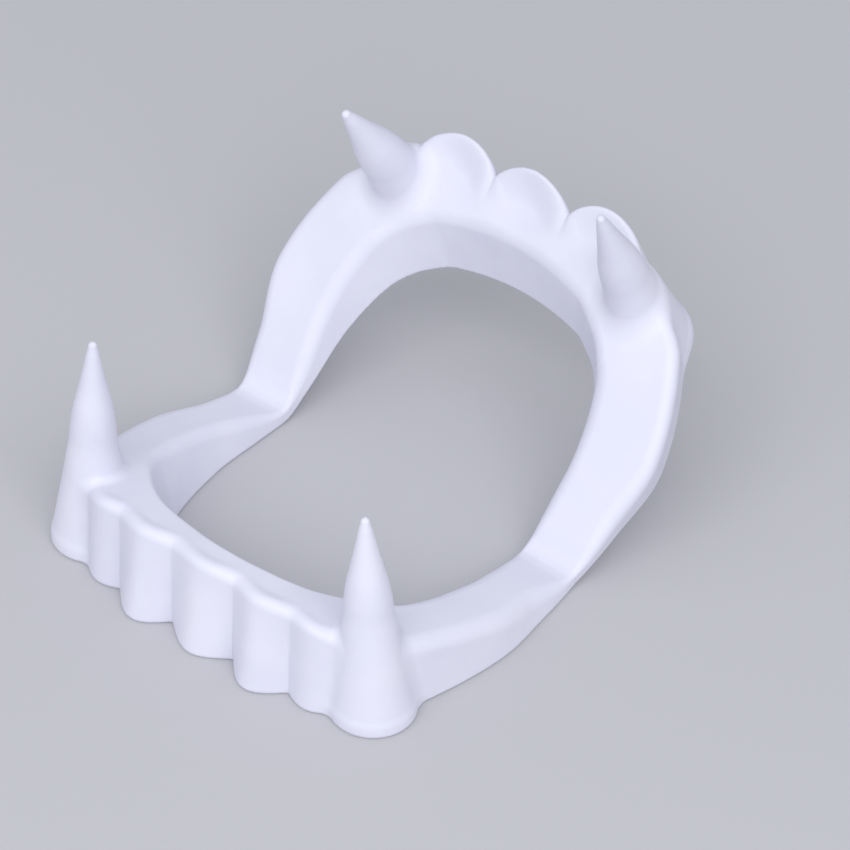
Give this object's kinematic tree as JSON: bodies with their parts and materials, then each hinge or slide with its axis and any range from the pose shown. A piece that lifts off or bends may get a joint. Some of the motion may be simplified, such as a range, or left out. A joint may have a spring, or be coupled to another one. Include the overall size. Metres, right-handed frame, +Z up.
{
  "type": "vampire fang denture",
  "caption": "Slip-on costume denture: upper and lower horseshoe tooth arches with long pointed fangs, open gum troughs and a folding web at each back end.",
  "frame": {"origin": "under the middle of the denture's box, on the surface it stands on", "axes": "+Z up from the lower arch's rims to its fang tips, the lower arch's front teeth face -Y, the hinge line runs along X"},
  "size_m": [0.065, 0.0774, 0.0494],
  "materials": {
    "soft_white_plastic": "soft moulded plastic, slightly bluish white, low gloss"
  },
  "bodies": {
    "lower": {"lower_arch": "soft_white_plastic", "hinge_web_left": "soft_white_plastic", "hinge_web_right": "soft_white_plastic"},
    "upper": {"upper_arch": "soft_white_plastic"}
  },
  "joints": [
    {"name": "jaw_fold", "type": "hinge", "parent": "lower", "child": "upper", "pos_m": [0, 0.00417, 0.0007], "axis": [1, 0, 0], "range_deg": [-36, 55]}
  ]
}
